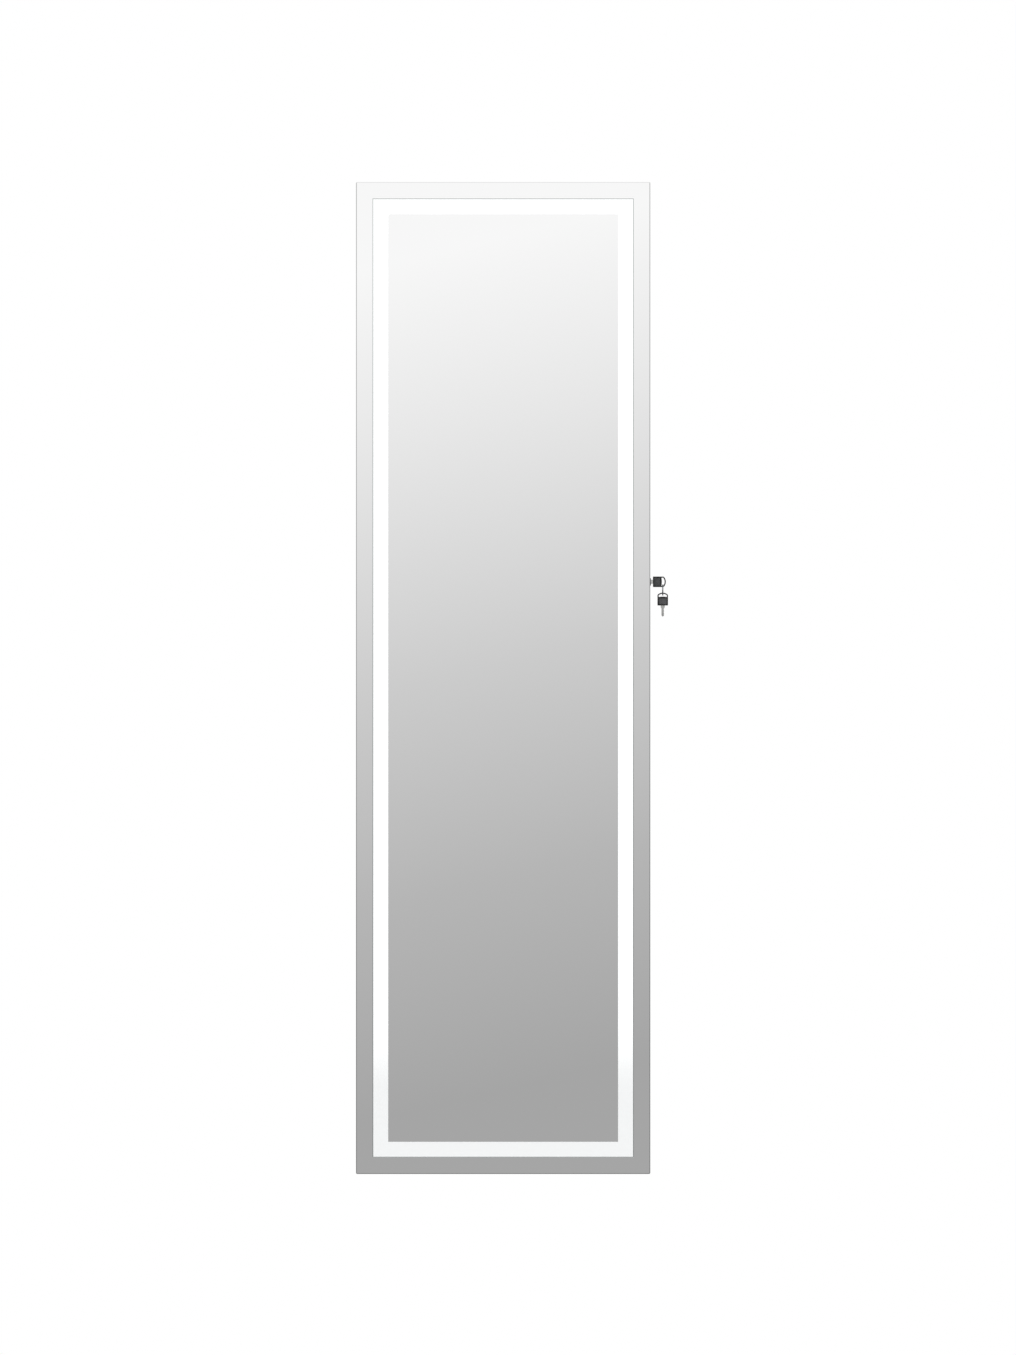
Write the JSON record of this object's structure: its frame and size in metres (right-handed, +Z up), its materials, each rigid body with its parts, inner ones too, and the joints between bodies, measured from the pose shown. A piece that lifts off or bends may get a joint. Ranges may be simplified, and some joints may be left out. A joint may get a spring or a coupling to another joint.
{
  "type": "jewelry mirror cabinet",
  "caption": "Slim wall-hung cabinet for jewellery behind a full-length mirror door with a lit frosted band, a side lock with keys on a ring, and fitted shelves and racks inside.",
  "frame": {"origin": "centre of the four wall-screw holes, on the wall plane at mid-height", "axes": "+Y towards the wall, so the mirror faces -Y; +Z up along the cabinet's height; +X to the right as one faces the mirror"},
  "size_m": [0.378, 0.1, 1.2],
  "materials": {
    "white_lacquer": "white satin lacquer on fibreboard",
    "hardboard": "white-faced hardboard",
    "backing_board": "raw fibreboard",
    "mirror": "silvered float glass with a polished edge",
    "frosted_glass": "sand-blasted band lit from behind",
    "opal_acrylic": "opal acrylic",
    "velvet": "charcoal velvet",
    "earring_board": "white moulded sheet",
    "steel": "zinc-plated steel",
    "chrome": "bright plated wire and rod",
    "key_steel": "nickel-plated stamped steel",
    "black_abs": "black moulded plastic",
    "lock_zinc": "die-cast zinc, black nickel plated",
    "grey_abs": "white moulded plastic",
    "rubber": "clear soft bumper",
    "flex_strip": "white flexible circuit",
    "led": "light-emitting diodes",
    "battery_wrap": "foil pouch cell",
    "circuit": "glass-epoxy board with parts",
    "wire": "insulated copper leads"
  },
  "bodies": {
    "cabinet": {"left_side_panel": "white_lacquer", "right_side_panel": "white_lacquer", "top_panel": "white_lacquer", "bottom_panel": "white_lacquer", "back_panel": "hardboard", "wall_rails": "white_lacquer", "velvet_lining": "velvet", "panel_screws": "steel", "middle_shelf": "white_lacquer", "vertical_divider": "white_lacquer", "lower_shelves": "white_lacquer", "shelf_guards": "white_lacquer", "necklace_rail": "white_lacquer", "necklace_hooks": "chrome", "bracelet_rod": "chrome", "earring_panel": "earring_board", "ring_tray": "white_lacquer", "ring_rolls": "velvet", "lipstick_rack": "white_lacquer", "hinge_cabinet_leaves": "steel", "hinge_pins": "steel", "cabinet_fitting_screws": "steel", "strike_bracket": "steel", "magnet_catches": "grey_abs", "door_bumpers": "rubber"},
    "door": {"left_stile": "white_lacquer", "right_stile": "white_lacquer", "top_rail": "white_lacquer", "bottom_rail": "white_lacquer", "mirror_glass": "mirror", "frosted_band": "frosted_glass", "mirror_backing_board": "backing_board", "light_diffuser": "opal_acrylic", "led_strip": "flex_strip", "led_chips": "led", "door_back_panel": "white_lacquer", "control_box": "grey_abs", "battery": "battery_wrap", "circuit_board": "circuit", "battery_cover": "grey_abs", "wiring": "wire", "button_housing": "grey_abs", "button_spring": "steel", "usb_inlet": "grey_abs", "inner_mirror": "mirror", "door_earring_rails": "white_lacquer", "hinge_door_leaves": "steel", "door_fitting_screws": "steel", "catch_plates": "steel", "lock_body": "lock_zinc", "lock_nut": "lock_zinc"},
    "lock_plug": {"lock_plug": "lock_zinc", "lock_cam": "lock_zinc", "cam_screw": "steel"},
    "key": {"key_blade": "key_steel", "key_head": "black_abs"},
    "key_ring": {"key_ring": "chrome"},
    "spare_key": {"spare_key_blade": "key_steel", "spare_key_head": "black_abs"},
    "power_button": {"power_button": "grey_abs"}
  },
  "joints": [
    {"name": "door_swing", "type": "hinge", "parent": "cabinet", "child": "door", "pos_m": [-0.175, -0.065, 0], "axis": [0, 0, -1], "range_deg": [0, 160]},
    {"name": "lock_turn", "type": "hinge", "parent": "door", "child": "lock_plug", "pos_m": [0.166, -0.0735, 0.1167], "axis": [-1, 0, 0], "range_deg": [0, 90]},
    {"name": "key_pull", "type": "slide", "parent": "lock_plug", "child": "key", "axis": [1, 0, 0], "range_m": [0, 0.016]},
    {"name": "ring_swing", "type": "hinge", "parent": "key", "child": "key_ring", "pos_m": [0.19357, -0.0735, 0.11102], "axis": [1, 0, 0], "range_deg": [-60, 60]},
    {"name": "spare_key_swing", "type": "hinge", "parent": "key_ring", "child": "spare_key", "pos_m": [0.19357, -0.0735, 0.10282], "axis": [1, 0, 0], "range_deg": [-45, 45]},
    {"name": "button_press", "type": "slide", "parent": "door", "child": "power_button", "axis": [0, 0, 1], "range_m": [0, 0.0012], "stiffness_N_per_m": 300, "springref_m": -0.002, "deforming": ["button_spring"]}
  ]
}
